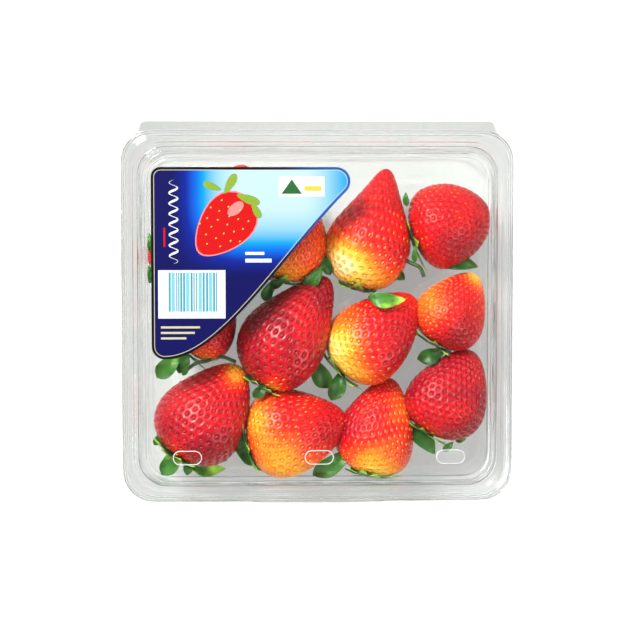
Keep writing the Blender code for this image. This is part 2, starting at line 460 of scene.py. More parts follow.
# %% Tab, hinge strip, vents and thickness
def tongue(sheet, test, end_y, spread=1.0):
    """Pulls part of the open edge out along Y until it ends in a straight line at end_y."""
    bpy.ops.mesh.select_mode(type="EDGE")
    bpy.ops.mesh.select_all(action="DESELECT")
    bm = bmesh.from_edit_mesh(sheet.data)
    for side in bm.edges:
        if side.is_boundary and test((side.verts[0].co + side.verts[1].co) / 2.0):
            side.select_set(True)
    bmesh.update_edit_mesh(sheet.data)
    bpy.ops.mesh.extrude_region_move()
    bpy.ops.transform.resize(value=(spread, 0.0, 1.0), center_override=(0.0, end_y, 0.0))


def vent(x, y, z):
    """A pill-shaped cutter for one vent slot."""
    bpy.ops.object.select_all(action="DESELECT")
    bpy.ops.mesh.primitive_cube_add(size=1.0, location=(x, y, z))
    cutter = bpy.context.object
    cutter.scale = (13.5 * MM, 6.5 * MM, 6.0 * MM)
    bpy.ops.object.transform_apply(location=True, rotation=True, scale=True)
    edit(cutter, "EDGE")
    bm = bmesh.from_edit_mesh(cutter.data)
    for side in bm.edges:
        side.select_set(abs(side.verts[0].co.z - side.verts[1].co.z) > MM)
    bmesh.update_edit_mesh(cutter.data)
    bpy.ops.mesh.bevel(offset=3.2 * MM, segments=8)
    close()
    return cutter


def give_body(sheet, name):
    """Subdivides the formed sheet and gives it its thickness."""
    edit(sheet, "FACE")
    bpy.ops.mesh.select_all(action="SELECT")
    bpy.ops.mesh.remove_doubles(threshold=1e-6)
    bpy.ops.mesh.normals_make_consistent(inside=False)
    close()
    use_modifier(sheet, "SUBSURF", levels=1, render_levels=1)
    use_modifier(sheet, "SOLIDIFY", thickness=SHEET, offset=-1.0)
    settle(sheet, name, PET)
    bpy.ops.object.shade_smooth_by_angle(angle=math.radians(40.0))
    print(name, len(sheet.data.polygons), "faces")


edit(lid)
tongue(lid, lambda p: p.y > BACK - 8.0 * MM and abs(p.x) < 85.0 * MM, HINGE_Y - 0.1 * MM, 0.99)
tongue(lid, lambda p: p.y < FRONT + 0.5 * MM and abs(p.x) < 33.0 * MM, lid_low.y, 0.96)
close()
give_body(lid, "lid_sheet")
VENT_Y = lid_low.y + 25.5 * MM
VENT_STEP = 62.8
for spot in (-1, 0, 1):
    cutter = vent(spot * VENT_STEP * MM, VENT_Y, TOP * MM)
    use_modifier(lid, "BOOLEAN", object=cutter, operation="DIFFERENCE", solver="EXACT")
    bpy.data.objects.remove(cutter, do_unlink=True)
pick(lid)
bpy.ops.object.shade_smooth_by_angle(angle=math.radians(40.0))
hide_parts("lid")
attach(lid, "lid")

# %% [markdown]
# ## The clear tray
# The tray is formed the same way, from its floor upwards: a raised floor panel on a foot ring, walls with
# one step that stacks and stiffens them, and a rim whose bead the lid snaps over.

# %% Form the tray
tray = form_sheet(
    "tray",
    (27.0, 2.1, 10.0),
    [
        (25.2, 2.1),
        (24.4, 1.5),
        (23.8, 0.6),
        (22.8, 0.5),
        (15.6, 0.5),
        (13.8, 0.8),
        (12.6, 1.8),
        (12.0, 3.4),
        (11.2, 11.0),
        (10.6, 18.4),
        (10.3, 19.2),
        (9.6, 19.9),
        (9.3, 20.8),
        (8.7, 29.6),
        (8.3, 30.9),
        (7.6, 31.3),
        (6.3, 31.3),
        (5.6, 31.5),
        (5.1, 32.5),
        (3.4, 32.5),
        (2.9, 31.5),
        (2.4, 31.3),
        (1.5, 31.2),
        (1.1, 30.9),
        (1.1, 30.3),
    ],
)
tongue(tray, lambda p: p.y > BACK - 9.0 * MM and abs(p.x) < 85.0 * MM, HINGE_Y - 0.1 * MM, 0.99)
close()
give_body(tray, "tray_sheet")
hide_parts("tray")
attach(tray, "tray")

# %% [markdown]
# ## One model strawberry
# A strawberry's skin is covered with small hollows in slanting rows, with a seed in each. To spread them
# evenly, an icosphere's faces are poked and their edges turned, which gives 482 corners at even steps.
# Each corner is bevelled to a small six-sided face, and those faces are inset and pushed in. The result
# is a pitted ball of unit radius.

# %% The pitted ball
MODEL_RADIUS = 21.0
bpy.ops.object.select_all(action="DESELECT")
bpy.ops.mesh.primitive_ico_sphere_add(subdivisions=3, radius=1.0)
ball = bpy.context.object
edit(ball, "FACE")
bpy.ops.mesh.select_all(action="SELECT")
bpy.ops.mesh.poke()
bpy.ops.mesh.beautify_fill()
close()
for corner in ball.data.vertices:
    corner.co = corner.co.normalized()
pit_places = np.array([v.co[:] for v in ball.data.vertices])
pit_tree = KDTree(len(pit_places))
for index, place in enumerate(pit_places):
    pit_tree.insert(place, index)
pit_tree.balance()


def choose_pits():
    """Selects the faces that lie on a seed's place."""
    bpy.ops.mesh.select_all(action="DESELECT")
    bm = bmesh.from_edit_mesh(ball.data)
    for face in bm.faces:
        middle = face.calc_center_median().normalized()
        face.select_set(pit_tree.find(middle)[2] < 0.35 / MODEL_RADIUS)
    bmesh.update_edit_mesh(ball.data)
    return sum(face.select for face in bm.faces)


edit(ball)
bpy.ops.mesh.select_all(action="SELECT")
bpy.ops.mesh.bevel(offset=1.3 / MODEL_RADIUS, segments=1, affect="VERTICES")
bpy.ops.mesh.select_mode(type="FACE")
print("pits", choose_pits())
bpy.ops.mesh.inset(thickness=0.4 / MODEL_RADIUS, depth=-0.85 / MODEL_RADIUS, use_individual=True)
close()
use_modifier(ball, "SUBSURF", levels=1, render_levels=1)
ball_points = np.array([v.co[:] for v in ball.data.vertices])
ball_faces = [tuple(f.vertices) for f in ball.data.polygons]
# Nearness to each seed hollow, which the skin uses to paint shade into the hollows.
ball_pit_shade = np.array([pit_tree.find(Vector(p).normalized())[2] for p in ball_points]) * MODEL_RADIUS
ball_pit_shade = np.clip(1.2 - ball_pit_shade, 0.0, 1.0)
print("ball", len(ball_points), "points", sum(len(f) - 2 for f in ball_faces), "triangles")

# %% [markdown]
# A seed is a pointed grain about 1.5 mm long that lies along the berry. One is made from a very coarse
# ball and copied to every hollow, where it sits slightly below the skin.

# %% The seeds of the ball
bpy.ops.object.select_all(action="DESELECT")
bpy.ops.mesh.primitive_uv_sphere_add(segments=4, ring_count=3, radius=1.0)
grain = bpy.context.object
edit(grain)
choose(grain, lambda p: p.z > 0.9)
bpy.ops.transform.translate(value=(0.0, 0.0, 0.35))
close()
grain_points = np.array([v.co[:] for v in grain.data.vertices])
grain_faces = [tuple(f.vertices) for f in grain.data.polygons]
seed_points = []
seed_faces = []
for place in pit_places:
    out = Vector(place)
    at_end = abs(out.z) > 0.999
    along = Vector((1.0, 0.0, 0.0)) if at_end else (Vector((0.0, 0.0, 1.0)) - out * out.z).normalized()
    across = along.cross(out)
    start = len(seed_points)
    for p in grain_points:
        offset = across * (p[0] * 0.42) + out * (p[1] * 0.34) + along * (p[2] * 0.66)
        seed_points.append(out * (1.0 - 0.3 / MODEL_RADIUS) + offset / MODEL_RADIUS)
    seed_faces.extend(tuple(start + i for i in face) for face in grain_faces)
seed_points = np.array([p[:] for p in seed_points])
print("seeds", len(pit_places), "with", len(seed_faces), "triangles")
bpy.data.objects.remove(grain, do_unlink=True)
bpy.data.objects.remove(ball, do_unlink=True)

# %% [markdown]
# ## The strawberries
# Thirteen berries lie in the tray, each as different in size, shape and ripeness as the real ones. A
# berry is given by its green end, its tip and its width. The ball is drawn out to a blunt cone between
# the two ends, with broad soft lumps of its own, and turned at random about its own line so that no two
# show the same rows of seeds.
#
# Ripeness is the main colour: a patch near a place on the pack raises or lowers it around that place. A
# patch that lowers it gives paler unripe skin; one that raises it deepens the red, partly as painted shade
# on sides that lie in shade.

# %% Berry sizes, places and patches
# name: green end (x, y, z), tip (x, y, z), width, ripeness, patches (x, y, reach, change, where a rise is
# partly painted shade); all in mm
BERRIES = {
    "back_middle": ((19.8, 11.8, 24.5), (34.4, 70.2, 22.5), 43.0, 0.78,
                    [(8, 24, 22, -0.62), (12, 52, 14, 0.12), (28, 10, 20, -0.4), (30, 70, 14, 0.1)]),
    "back_right": ((47.5, 35.0, 21.5), (84.6, 50.5, 21.0), 41.5, 0.82,
                   [(75, 30, 14, 0.14), (55, 60, 10, -0.06), (48, 34, 9, -0.2)]),
    "back_label": ((-17.5, 15.6, 23.5), (-6.5, 64.0, 22.5), 38.0, 0.5,
                   [(-18, 12, 20, -0.2), (0, 48, 14, 0.1), (-28, 30, 14, 0.0)]),
    "middle": ((-28.5, -34.5, 25.0), (5.0, 17.4, 26.0), 44.5, 0.92,
               [(-22, -37, 10, -0.5), (-30, 2, 15, 0.12), (0, -8, 12, -0.04)]),
    "middle_right": ((10.4, -28.2, 24.5), (47.8, 7.5, 25.0), 41.5, 0.78,
                     [(5, -18, 21, -0.64), (14, 4, 11, -0.2), (22, -33, 13, -0.34), (42, -12, 14, 0.12)]),
    "right": ((58.3, -15.8, 22.5), (77.6, 18.6, 23.5), 38.0, 0.7,
              [(79, 19, 9, -0.45), (52, 6, 16, -0.26), (72, -12, 14, 0.2), (62, -16, 10, 0.12)]),
    "front_left": ((-70.5, -69.0, 25.2), (-37.4, -26.4, 23.4), 45.0, 0.9,
                   [(-39, -28, 10, -0.62), (-50, -56, 18, 0.08), (-72, -68, 10, -0.2)]),
    "front_middle": ((-34.0, -65.5, 24.6), (14.8, -52.0, 24.0), 44.5, 0.74,
                     [(-34, -50, 16, -0.34), (-14, -78, 20, -0.42), (-24, -62, 14, -0.2),
                      (8, -58, 13, 0.06)]),
    "front_right": ((26.5, -80.6, 22.5), (36.0, -32.6, 20.0), 39.0, 0.72,
                    [(28, -82, 22, -0.5), (14, -54, 13, 0.2), (42, -46, 12, -0.22)]),
    "right_front": ((54.0, -59.4, 23.5), (77.0, -19.4, 20.5), 41.0, 0.9,
                    [(54, -60, 9, -0.25), (80, -40, 13, 0.1)]),
    "left": ((-66.0, -17.0, 21.0), (-43.0, 6.0, 18.6), 35.0, 0.82,
             [(-56, -25, 12, -0.45)]),
    "back_left": ((-50.5, 28.0, 21.5), (-35.0, 72.0, 19.5), 33.0, 0.84, []),
    "left_wall": ((-71.0, 38.0, 17.0), (-68.5, 9.0, 16.0), 27.0, 0.8, []),
}
GROUPS = {
    "back": ["back_middle", "back_right", "back_label", "back_left"],
    "middle": ["middle", "middle_right", "right"],
    "left": ["left", "left_wall"],
    "front": ["front_left", "front_middle", "front_right", "right_front"],
}
SLIMMER = {"back_middle": 0.38, "middle": 0.2, "back_right": -0.08, "front_left": 0.1, "front_right": 0.16,
           "front_middle": 0.1, "right_front": 0.1, "middle_right": 0.08, "back_label": 0.3, "right": 0.12}
DEPTH = 0.95


# %% [markdown]
# The blunt cone follows one law of width along its length, broad near the green end and pointed at the
# tip. The last two thirds are drawn in by a share of their own: a high one gives a slim cone, none a
# blocky berry.

# %% The law of a berry's shape
def berry_frame(name):
    """A berry's start, its side, up and length directions, its length and its half width, in metres."""
    green, tip, width = BERRIES[name][:3]
    start = np.array(green) * MM
    line = np.array(tip) * MM - start
    length = np.linalg.norm(line)
    line = line / length
    side = np.cross(line, (0.0, 0.0, 1.0))
    side = side / np.linalg.norm(side)
    return start, side, np.cross(side, line), line, length, width * MM / 2.0


def berry_place(name, directions, rise):
    """Carries unit directions, and heights above the skin in metres, to the berry's own surface."""
    start, side, up, line, length, half = berry_frame(name)
    luck = np.random.default_rng(1000 + 37 * list(BERRIES).index(name))
    a, b, c, bend = luck.uniform(0.0, 6.28, 4)
    share = np.clip((1.0 - directions[:, 2]) / 2.0, 0.0, 1.0)
    angle = np.arctan2(directions[:, 1], directions[:, 0])
    far = np.clip((share - 0.35) / 0.6, 0.0, 1.0)
    slim = 1.0 - SLIMMER.get(name, 0.05) * far * far * (3.0 - 2.0 * far)
    width = np.sin(math.pi * share**0.66) ** np.where(share > 0.35, 0.5, 0.6) * slim * half
    lumps = 0.035 * np.sin(2 * angle + a) + 0.022 * np.sin(3 * angle + b + 3 * share) - 0.02
    lumps = lumps + 0.014 * np.sin(5 * angle + c + 5 * share)
    width = width * (1.0 + lumps)
    sway = 0.03 * length * np.sin(math.pi * share)
    x = width * np.cos(angle) + sway * math.cos(bend)
    y = width * np.sin(angle) * DEPTH
    out = directions / np.array((half, half, -length / 2.0))
    out = out / np.linalg.norm(out, axis=1)[:, None]
    local = np.stack([x, y, share * length], axis=1) + out * rise[:, None]
    return start + local @ np.stack([side, up, line])


def turned(points, angle, lean):
    """Turns the ball about its length and leans its pole a little, so the rows differ from berry to berry."""
    first = Matrix.Rotation(2.0 * angle, 3, "Z")
    turn = Matrix.Rotation(angle, 3, "Z") @ Matrix.Rotation(lean, 3, "X") @ first
    return points @ np.array(turn).T


def ripeness_with_shade_at(name, points):
    """Ripeness of every point, from the berry's own level, its patches and slow random change; a patch that
    raises it is partly painted shade.
    """
    base, ripeness_and_shade_patches = BERRIES[name][3], BERRIES[name][4]
    value = np.full(len(points), base)
    flat = points[:, :2] / MM
    for x, y, reach, ripeness_or_shade_change in ripeness_and_shade_patches:
        away = np.hypot(flat[:, 0] - x, flat[:, 1] - y) / reach
        # A rise in ripeness deepens the red; on sides that lie in shade it is painted shade.
        value = value + ripeness_or_shade_change * np.clip(1.25 - away, 0.0, 1.0) ** 1.2
    luck = np.random.default_rng(5 + list(BERRIES).index(name))
    for _ in range(4):
        wave = luck.normal(0.0, 0.16, 3)
        value = value + 0.025 * np.sin(points @ wave / MM + luck.uniform(0.0, 6.28))
    return np.clip(value, 0.02, 1.0)


# %% [markdown]
# Skin and seeds are drawn out together, so every seed stays in its hollow. Ripeness, and the nearness to
# each hollow that the skin turns into painted shade, go into the mesh as numbers for the skin to read.
# Neighbouring berries share one mesh, which keeps the pieces few.

# %% Make the berries, one piece for each part of the tray
def add_number(data, name, values):
    attribute = data.attributes.new(name, "FLOAT", "POINT")
    attribute.data.foreach_set("value", np.asarray(values, dtype=np.float32))


def make_berries(group, names):
    points, faces, ripe_with_shade, pit_shade, is_seed = [], [], [], [], []
    count = 0
    for name in names:
        luck = np.random.default_rng(200 + list(BERRIES).index(name))
        angle, lean = luck.uniform(0.0, 6.28), luck.uniform(0.2, 0.9)
        for shape, shape_faces, seeds in ((ball_points, ball_faces, 0), (seed_points, seed_faces, 1)):
            spot = turned(shape, angle, lean)
            reach = np.linalg.norm(spot, axis=1)
            directions = spot / reach[:, None]
            rise = (reach - 1.0) * MODEL_RADIUS * MM
            placed = berry_place(name, directions, rise)
            points.append(placed)
            faces.extend(tuple(count + i for i in face) for face in shape_faces)
            ripe_with_shade.append(ripeness_with_shade_at(name, placed))
            pit_shade.append(np.zeros(len(shape)) if seeds else ball_pit_shade)
            is_seed.extend([seeds] * len(shape_faces))
            count += len(shape)
    piece = mesh_piece("berries_" + group, np.concatenate(points), faces, SKIN)
    piece.data.materials.append(HUSK)
    piece.data.polygons.foreach_set("material_index", np.array(is_seed, dtype=np.int32))
    add_number(piece.data, "ripeness_with_shade", np.concatenate(ripe_with_shade))
    add_number(piece.data, "pit_shade", np.concatenate(pit_shade))
    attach(piece, "tray")
    triangles = sum(len(p.vertices) - 2 for p in piece.data.polygons)
    print(piece.name, "berries", len(names), "triangles", triangles)
    return piece


berry_pieces = [make_berries(group, names) for group, names in GROUPS.items()]
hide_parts("strawberries")

# %% [markdown]
# ## Green caps
# Each berry has a cap of about nine narrow leaves that spread from the stem. They start at the green end
# and hug the shoulder, and their tips lift off it. A leaf is a small grid, bent along its length and
# cupped across it.


# %% The caps
def leaf_grid(rows, columns):
    """Places along (0 to 1) and across (-1 to 1) a leaf, with the faces between them."""
    places = [(i / (rows - 1), 2.0 * j / (columns - 1) - 1.0) for i in range(rows) for j in range(columns)]
    faces = [
        (i * columns + j, i * columns + j + 1, (i + 1) * columns + j + 1, (i + 1) * columns + j)
        for i in range(rows - 1)
        for j in range(columns - 1)
    ]
    return np.array(places), faces


def leaf_width(along):
    """Share of the full width along a leaf: narrow foot, broad middle, pointed tip."""
    return np.sin(math.pi * np.clip(along, 0.0, 1.0) ** 0.8) ** 0.75 * (1.0 - 0.25 * along) + 0.03


def thicken(piece, thickness):
    use_modifier(piece, "SOLIDIFY", thickness=thickness, offset=0.0)
    use_modifier(piece, "SUBSURF", levels=1, render_levels=1)
    piece.data.shade_smooth()


CAP_PLACES, CAP_FACES = leaf_grid(7, 3)
cap_points, cap_faces, cap_along = [], [], []
for index, name in enumerate(BERRIES):
    luck = np.random.default_rng(700 + index)
    half = BERRIES[name][2] / 2.0
    leaves = int(luck.integers(8, 11))
    for leaf in range(leaves):
        heading = 6.283 * (leaf + luck.uniform(-0.25, 0.25)) / leaves
        reach = luck.uniform(8.0, 12.5)
        along, across = CAP_PLACES[:, 0], CAP_PLACES[:, 1]
        polar = (0.1 + along * reach) / half
        swing = across * leaf_width(along) * luck.uniform(2.6, 3.6) / np.maximum(half * np.sin(polar), 2.0)
        angle = heading + np.clip(swing, -0.5, 0.5)
        flat = np.sin(polar)
        directions = np.stack([flat * np.cos(angle), flat * np.sin(angle), np.cos(polar)], axis=1)
        lift = (0.7 + luck.uniform(0.3, 3.0) * along**2.2 + 0.6 * across**2) * MM
        start = len(cap_points)
        cap_points.extend(berry_place(name, directions, lift))
        cap_faces.extend(tuple(start + i for i in face) for face in CAP_FACES)
        cap_along.extend(along * 0.7)
caps = mesh_piece("green_caps", cap_points, cap_faces, LEAF)
add_number(caps.data, "along", cap_along)
thicken(caps, 0.35 * MM)
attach(caps, "tray")
print("cap leaves", len(cap_points) // len(CAP_PLACES))

# %% [markdown]
# ## Loose leaf tips and stems
# More leaf tips show in the gaps between berries, where caps were pushed up and bent as the pack was
# filled. They are placed one by one. The thin stems are swept from a small round section.

# %% Leaves in the gaps
# middle (x, y, z), length, width, heading in degrees, tilt, cup, brightness; lengths in mm
GAP_LEAVES = [
    (33.0, 7.8, 40.0, 18.5, 8.5, -4, 2, 0.2, 0.6),
    (69.3, 23.5, 26.0, 20.0, 9.0, -8, -3, 0.5, 0.15),
    (43.3, 55.3, 27.0, 7.0, 3.6, 95, 0, 0.3, 0.3),
    (47.4, 28.8, 30.0, 9.0, 3.2, 88, 5, 0.2, 0.4),
    (38.0, 20.0, 27.0, 12.0, 6.0, 140, -8, 0.4, 0.15),
    (-24.0, 10.9, 34.0, 11.0, 6.5, 70, 10, 0.8, 0.2),
    (-20.0, 15.0, 33.0, 9.0, 5.0, 20, 0, 0.6, 0.1),
    (-2.4, 17.8, 33.0, 14.0, 7.5, 50, 5, 0.5, 0.3),
    (4.0, 24.0, 31.0, 12.0, 6.0, 110, 0, 0.5, 0.15),
    (-28.4, -37.5, 34.0, 9.5, 6.0, 48, 5, 0.4, 0.1),
    (1.5, -29.6, 28.0, 18.0, 10.5, 118, 5, 0.5, 0.2),
    (9.5, -35.5, 27.0, 16.0, 9.5, 70, -4, 0.5, 0.12),
    (56.0, -20.5, 27.0, 15.0, 9.0, 18, 0, 0.5, 0.05),
    (-72.4, -73.0, 20.0, 19.0, 10.0, 62, 4, 0.4, 0.6),
    (-54.0, -76.5, 20.0, 18.0, 9.0, -8, 4, 0.4, 0.6),
    (-64.0, -75.5, 20.0, 11.0, 5.5, 88, 0, 0.3, 0.45),
    (-47.6, -72.8, 24.0, 7.0, 3.0, 5, 0, 0.3, 0.1),
    (-78.5, -62.7, 22.0, 6.5, 4.0, 62, 0, 0.3, 0.2),
    (-35.5, -71.0, 22.0, 15.0, 8.0, 140, 4, 0.4, 0.45),
    (-26.5, -76.0, 20.0, 14.0, 7.5, -22, 3, 0.4, 0.5),
    (-36.5, -62.3, 31.0, 9.0, 4.8, 80, 3, 0.4, 0.15),
    (7.5, -74.5, 24.0, 23.0, 11.0, 33, -3, 0.4, 0.45),
    (19.9, -77.0, 24.0, 8.5, 4.6, 12, 0, 0.4, 0.5),
    (52.0, -63.0, 24.0, 19.0, 11.0, -50, 4, 0.5, 0.2),
    (64.4, -66.2, 26.0, 7.0, 4.0, 40, 0, 0.3, 0.45),
    (70.8, -63.2, 25.0, 5.5, 2.8, 12, 0, 0.3, 0.5),
    (-73.0, -26.5, 22.0, 17.0, 10.0, 42, 4, 0.4, 0.45),
    (-66.0, -24.0, 22.0, 13.0, 7.0, 72, 0, 0.3, 0.3),
    (-64.5, -28.1, 26.0, 6.0, 3.2, 60, 0, 0.3, 0.4),
    (-81.5, 20.0, 22.0, 12.0, 5.0, 85, 0, 0.4, 0.3),
    (-81.0, 34.0, 24.0, 10.0, 5.0, 100, 0, 0.4, 0.35),
]
LEAF_PLACES, LEAF_FACES = leaf_grid(9, 5)
gap_points, gap_faces, gap_along = [], [], []
for index, (x, y, z, length, width, heading, tilt, cup, bright) in enumerate(GAP_LEAVES):
    luck = np.random.default_rng(900 + index)
    along, across = LEAF_PLACES[:, 0], LEAF_PLACES[:, 1]
    half = width / 2.0 * leaf_width(along)
    ruffle = 0.11 * length * np.sin(along * 10.0 + 2.0 * across + luck.uniform(0.0, 6.0)) * np.abs(across)
    local = np.stack(
        [
            (along - 0.5) * length,
            across * half + 0.07 * length * luck.uniform(-1.0, 1.0) * np.sin(math.pi * along),
            cup * half * across**2 + ruffle * 0.6 - 0.14 * length * (2.0 * along - 1.0) ** 2,
        ],
        axis=1,
    )
    turn = Matrix.Rotation(math.radians(heading), 3, "Z") @ Matrix.Rotation(math.radians(-tilt), 3, "Y")
    start = len(gap_points)
    gap_points.extend((local @ np.array(turn).T + np.array((x, y, z))) * MM)
    gap_faces.extend(tuple(start + i for i in face) for face in LEAF_FACES)
    gap_along.extend(bright * (0.35 + 0.7 * along))
gap_leaves = mesh_piece("leaves_in_gaps", gap_points, gap_faces, LEAF)
add_number(gap_leaves.data, "along", gap_along)
thicken(gap_leaves, 0.35 * MM)
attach(gap_leaves, "tray")

# %% [markdown]
# Stems are drawn along a few points. Cutting the corners of that line again and again smooths it, and a
# small ring of points is then carried along it.

# %% Stems
# points (x, y, z) and thickness, in mm
STEMS = [
    ([(43.0, 25.6, 28.0), (46.0, 24.0, 30.5), (50.0, 22.5, 29.5), (51.9, 17.8, 27.0)], 1.9),
    ([(-64.0, -27.9, 25.0), (-59.0, -24.0, 28.0), (-54.0, -23.5, 28.5), (-50.8, -22.0, 27.0)], 1.8),
    ([(-50.3, -21.5, 27.0), (-46.0, -21.0, 29.0), (-40.0, -23.9, 27.0)], 1.8),
    ([(24.0, 12.0, 27.0), (22.0, 11.0, 31.0), (21.0, 13.0, 33.0)], 2.6),
    ([(-18.0, 18.0, 28.0), (-21.0, 13.0, 32.0), (-24.0, 8.0, 33.0)], 1.7),
]
AROUND = 8


def sweep(points, thickness):
    """A round tube along smoothed points, as points and faces."""
    path = np.array(points, dtype=float)
    for _ in range(3):
        cut = [path[0]]
        for a, b in zip(path[:-1], path[1:]):
            cut += [0.75 * a + 0.25 * b, 0.25 * a + 0.75 * b]
        path = np.array(cut + [path[-1]])
    rings = []
    for i, spot in enumerate(path):
        line = path[min(i + 1, len(path) - 1)] - path[max(i - 1, 0)]
        line = line / np.linalg.norm(line)
        side = np.cross(line, (0.0, 0.0, 1.0)) + 1e-6
        side = side / np.linalg.norm(side)
        up = np.cross(side, line)
        for k in range(AROUND):
            angle = 2.0 * math.pi * k / AROUND
            rings.append(spot + thickness / 2.0 * (math.cos(angle) * side + math.sin(angle) * up))
    faces = []
    for i in range(len(path) - 1):
        for k in range(AROUND):
            n = (k + 1) % AROUND
            faces.append((i * AROUND + k, i * AROUND + n, (i + 1) * AROUND + n, (i + 1) * AROUND + k))
    faces.append(tuple(range(AROUND)))
    faces.append(tuple(reversed(range((len(path) - 1) * AROUND, len(path) * AROUND))))
    return np.array(rings) * MM, faces


stem_points, stem_faces = [], []
for points, thickness in STEMS:
    tube, tube_faces = sweep(points, thickness)
    start = len(stem_points)
    stem_points.extend(tube)
    stem_faces.extend(tuple(start + i for i in face) for face in tube_faces)
stems = mesh_piece("stems", stem_points, stem_faces, STEM)
add_number(stems.data, "along", np.full(len(stem_points), 0.3))
edit(stems, "FACE")
bpy.ops.mesh.select_all(action="SELECT")
bpy.ops.mesh.normals_make_consistent(inside=False)
close()
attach(stems, "tray")

# %% [markdown]
# ## Painted glints on the vent edges
# The cut edges of the vent slots catch the light as thin white lines. A thin rolled lip follows each slot,
# in a pale whitish material that paints that glint.


# %% Lips of the vent slots
def slot_glint_pet():
    made = new_material("vent_slot_painted_glint")
    place = node(made, "ShaderNodeTexCoord").outputs["Object"]
    glint_unevenness = node(made, "ShaderNodeTexNoise", {"Scale": 400.0, "Detail": 2.0}, Vector=place)
    # Pale whitish colour: a painted glint along the edges of the slots.
    colour = ramp(made, glint_unevenness.outputs["Fac"], [(0.3, "#e2e6e5"), (0.7, "#fbfcfc")])
    glint_film = node(made, "ShaderNodeBsdfPrincipled", {"Roughness": 0.25, "IOR": 1.57}, Base_Color=colour)
    node(made, "ShaderNodeOutputMaterial", Surface=glint_film.outputs["BSDF"])
    return made


SLOT_GLINT = slot_glint_pet()
lip_points, lip_faces = [], []
for spot in (-1, 0, 1):
    loop = arc(spot * VENT_STEP + 3.5, VENT_Y / MM, 3.25, 90, -90, 10)
    loop += arc(spot * VENT_STEP - 3.5, VENT_Y / MM, 3.25, 270, 90, 10)
    ring = [(x, y, TOP + 0.02) for x, y in loop + loop[:1]]
    tube, tube_faces = sweep(ring, 0.42)
    start = len(lip_points)
    lip_points.extend(tube)
    lip_faces.extend(tuple(start + i for i in face) for face in tube_faces)
lips = mesh_piece("vent_glint_lips", lip_points, lip_faces, SLOT_GLINT)
edit(lips, "FACE")
bpy.ops.mesh.select_all(action="SELECT")
bpy.ops.mesh.normals_make_consistent(inside=False)
close()
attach(lips, "lid")

# %% [markdown]
# ## The label
# The sticker is glossy paper, printed and then cut to a three-cornered shape with a hollow curved long
# side. It is made as one thin plate; two insets in its face give the dark edge and the thin gold line,
# and the rest carries the blue colour field, darkest at the left and foot and palest towards the right.


# %% Printed inks
def ink(name, code, roughness=0.32):
    """A printed colour: a thin ink film under clear varnish, a little uneven."""
    made = new_material(name)
    place = node(made, "ShaderNodeTexCoord").outputs["Object"]
    fibres = node(made, "ShaderNodeTexNoise", {"Scale": 900.0, "Detail": 2.0}, Vector=place)
    multiply = {"data_type": "RGBA", "blend_type": "MULTIPLY"}
    tone = node(made, "ShaderNodeMix", multiply, i0=fibres.outputs["Fac"])
    tone.inputs[6].default_value = linear(code)
    tone.inputs[7].default_value = linear("#ececec")
    film = node(
        made,
        "ShaderNodeBsdfPrincipled",
        {"Roughness": roughness, "Coat Weight": 0.3, "Coat Roughness": 0.15},
        Base_Color=tone.outputs[2],
    )
    node(made, "ShaderNodeOutputMaterial", Surface=film.outputs["BSDF"])
    return made


def night_edge():
    """The dark edge, which turns to mid blue towards the tip on the right."""
    made = new_material("label_night_blue_edge_ink")
    place = node(made, "ShaderNodeTexCoord").outputs["Object"]
    axes = node(made, "ShaderNodeSeparateXYZ", Vector=place)
    step = node(made, "ShaderNodeMapRange", {"interpolation_type": "SMOOTHSTEP"}, Value=axes.outputs["X"])
    step.inputs["From Min"].default_value = -45.0 * MM
    step.inputs["From Max"].default_value = 12.0 * MM
    colour = ramp(made, step.outputs["Result"], [(0.0, "#04061c"), (0.5, "#06163c"), (1.0, "#0a5cb4")])
    film = node(made, "ShaderNodeBsdfPrincipled", {"Roughness": 0.3, "Coat Weight": 0.3}, Base_Color=colour)
    node(made, "ShaderNodeOutputMaterial", Surface=film.outputs["BSDF"])
    return made


def blue_field():
    """The field of blue ink, from navy to pale sky by place on the label."""
    made = new_material("label_blue_ink_blend")
    place = node(made, "ShaderNodeTexCoord").outputs["Object"]
    axes = node(made, "ShaderNodeSeparateXYZ", Vector=place)

    def blend(socket, low, high):
        smooth = {"interpolation_type": "SMOOTHSTEP"}
        step = node(made, "ShaderNodeMapRange", smooth, Value=socket)
        step.inputs["From Min"].default_value = low * MM
        step.inputs["From Max"].default_value = high * MM
        return step.outputs["Result"]

    rise_x = blend(axes.outputs["X"], -71.0, -36.0)
    rise_y = blend(axes.outputs["Y"], 18.0, 54.0)
    fall_x = blend(axes.outputs["X"], 16.0, -8.0)
    both = node(made, "ShaderNodeMath", {"operation": "MULTIPLY"}, i0=rise_x, i1=rise_y)
    less = node(made, "ShaderNodeMath", {"operation": "MULTIPLY_ADD"}, i0=fall_x)
    less.inputs[1].default_value = 0.55
    less.inputs[2].default_value = 0.45
    level = node(made, "ShaderNodeMath", {"operation": "MULTIPLY"}, i0=both.outputs[0], i1=less.outputs[0])
    colour = ramp(
        made,
        level.outputs[0],
        [
            (0.0, "#0c0c58"),
            (0.14, "#0a2496"),
            (0.32, "#0468dc"),
            (0.46, "#0a9cf2"),
            (0.72, "#8cc4f0"),
            (1.0, "#bcd8f2"),
        ],
    )
    film = node(
        made,
        "ShaderNodeBsdfPrincipled",
        {"Roughness": 0.3, "Coat Weight": 0.3, "Coat Roughness": 0.15},
        Base_Color=colour,
    )
    node(made, "ShaderNodeOutputMaterial", Surface=film.outputs["BSDF"])
    return made


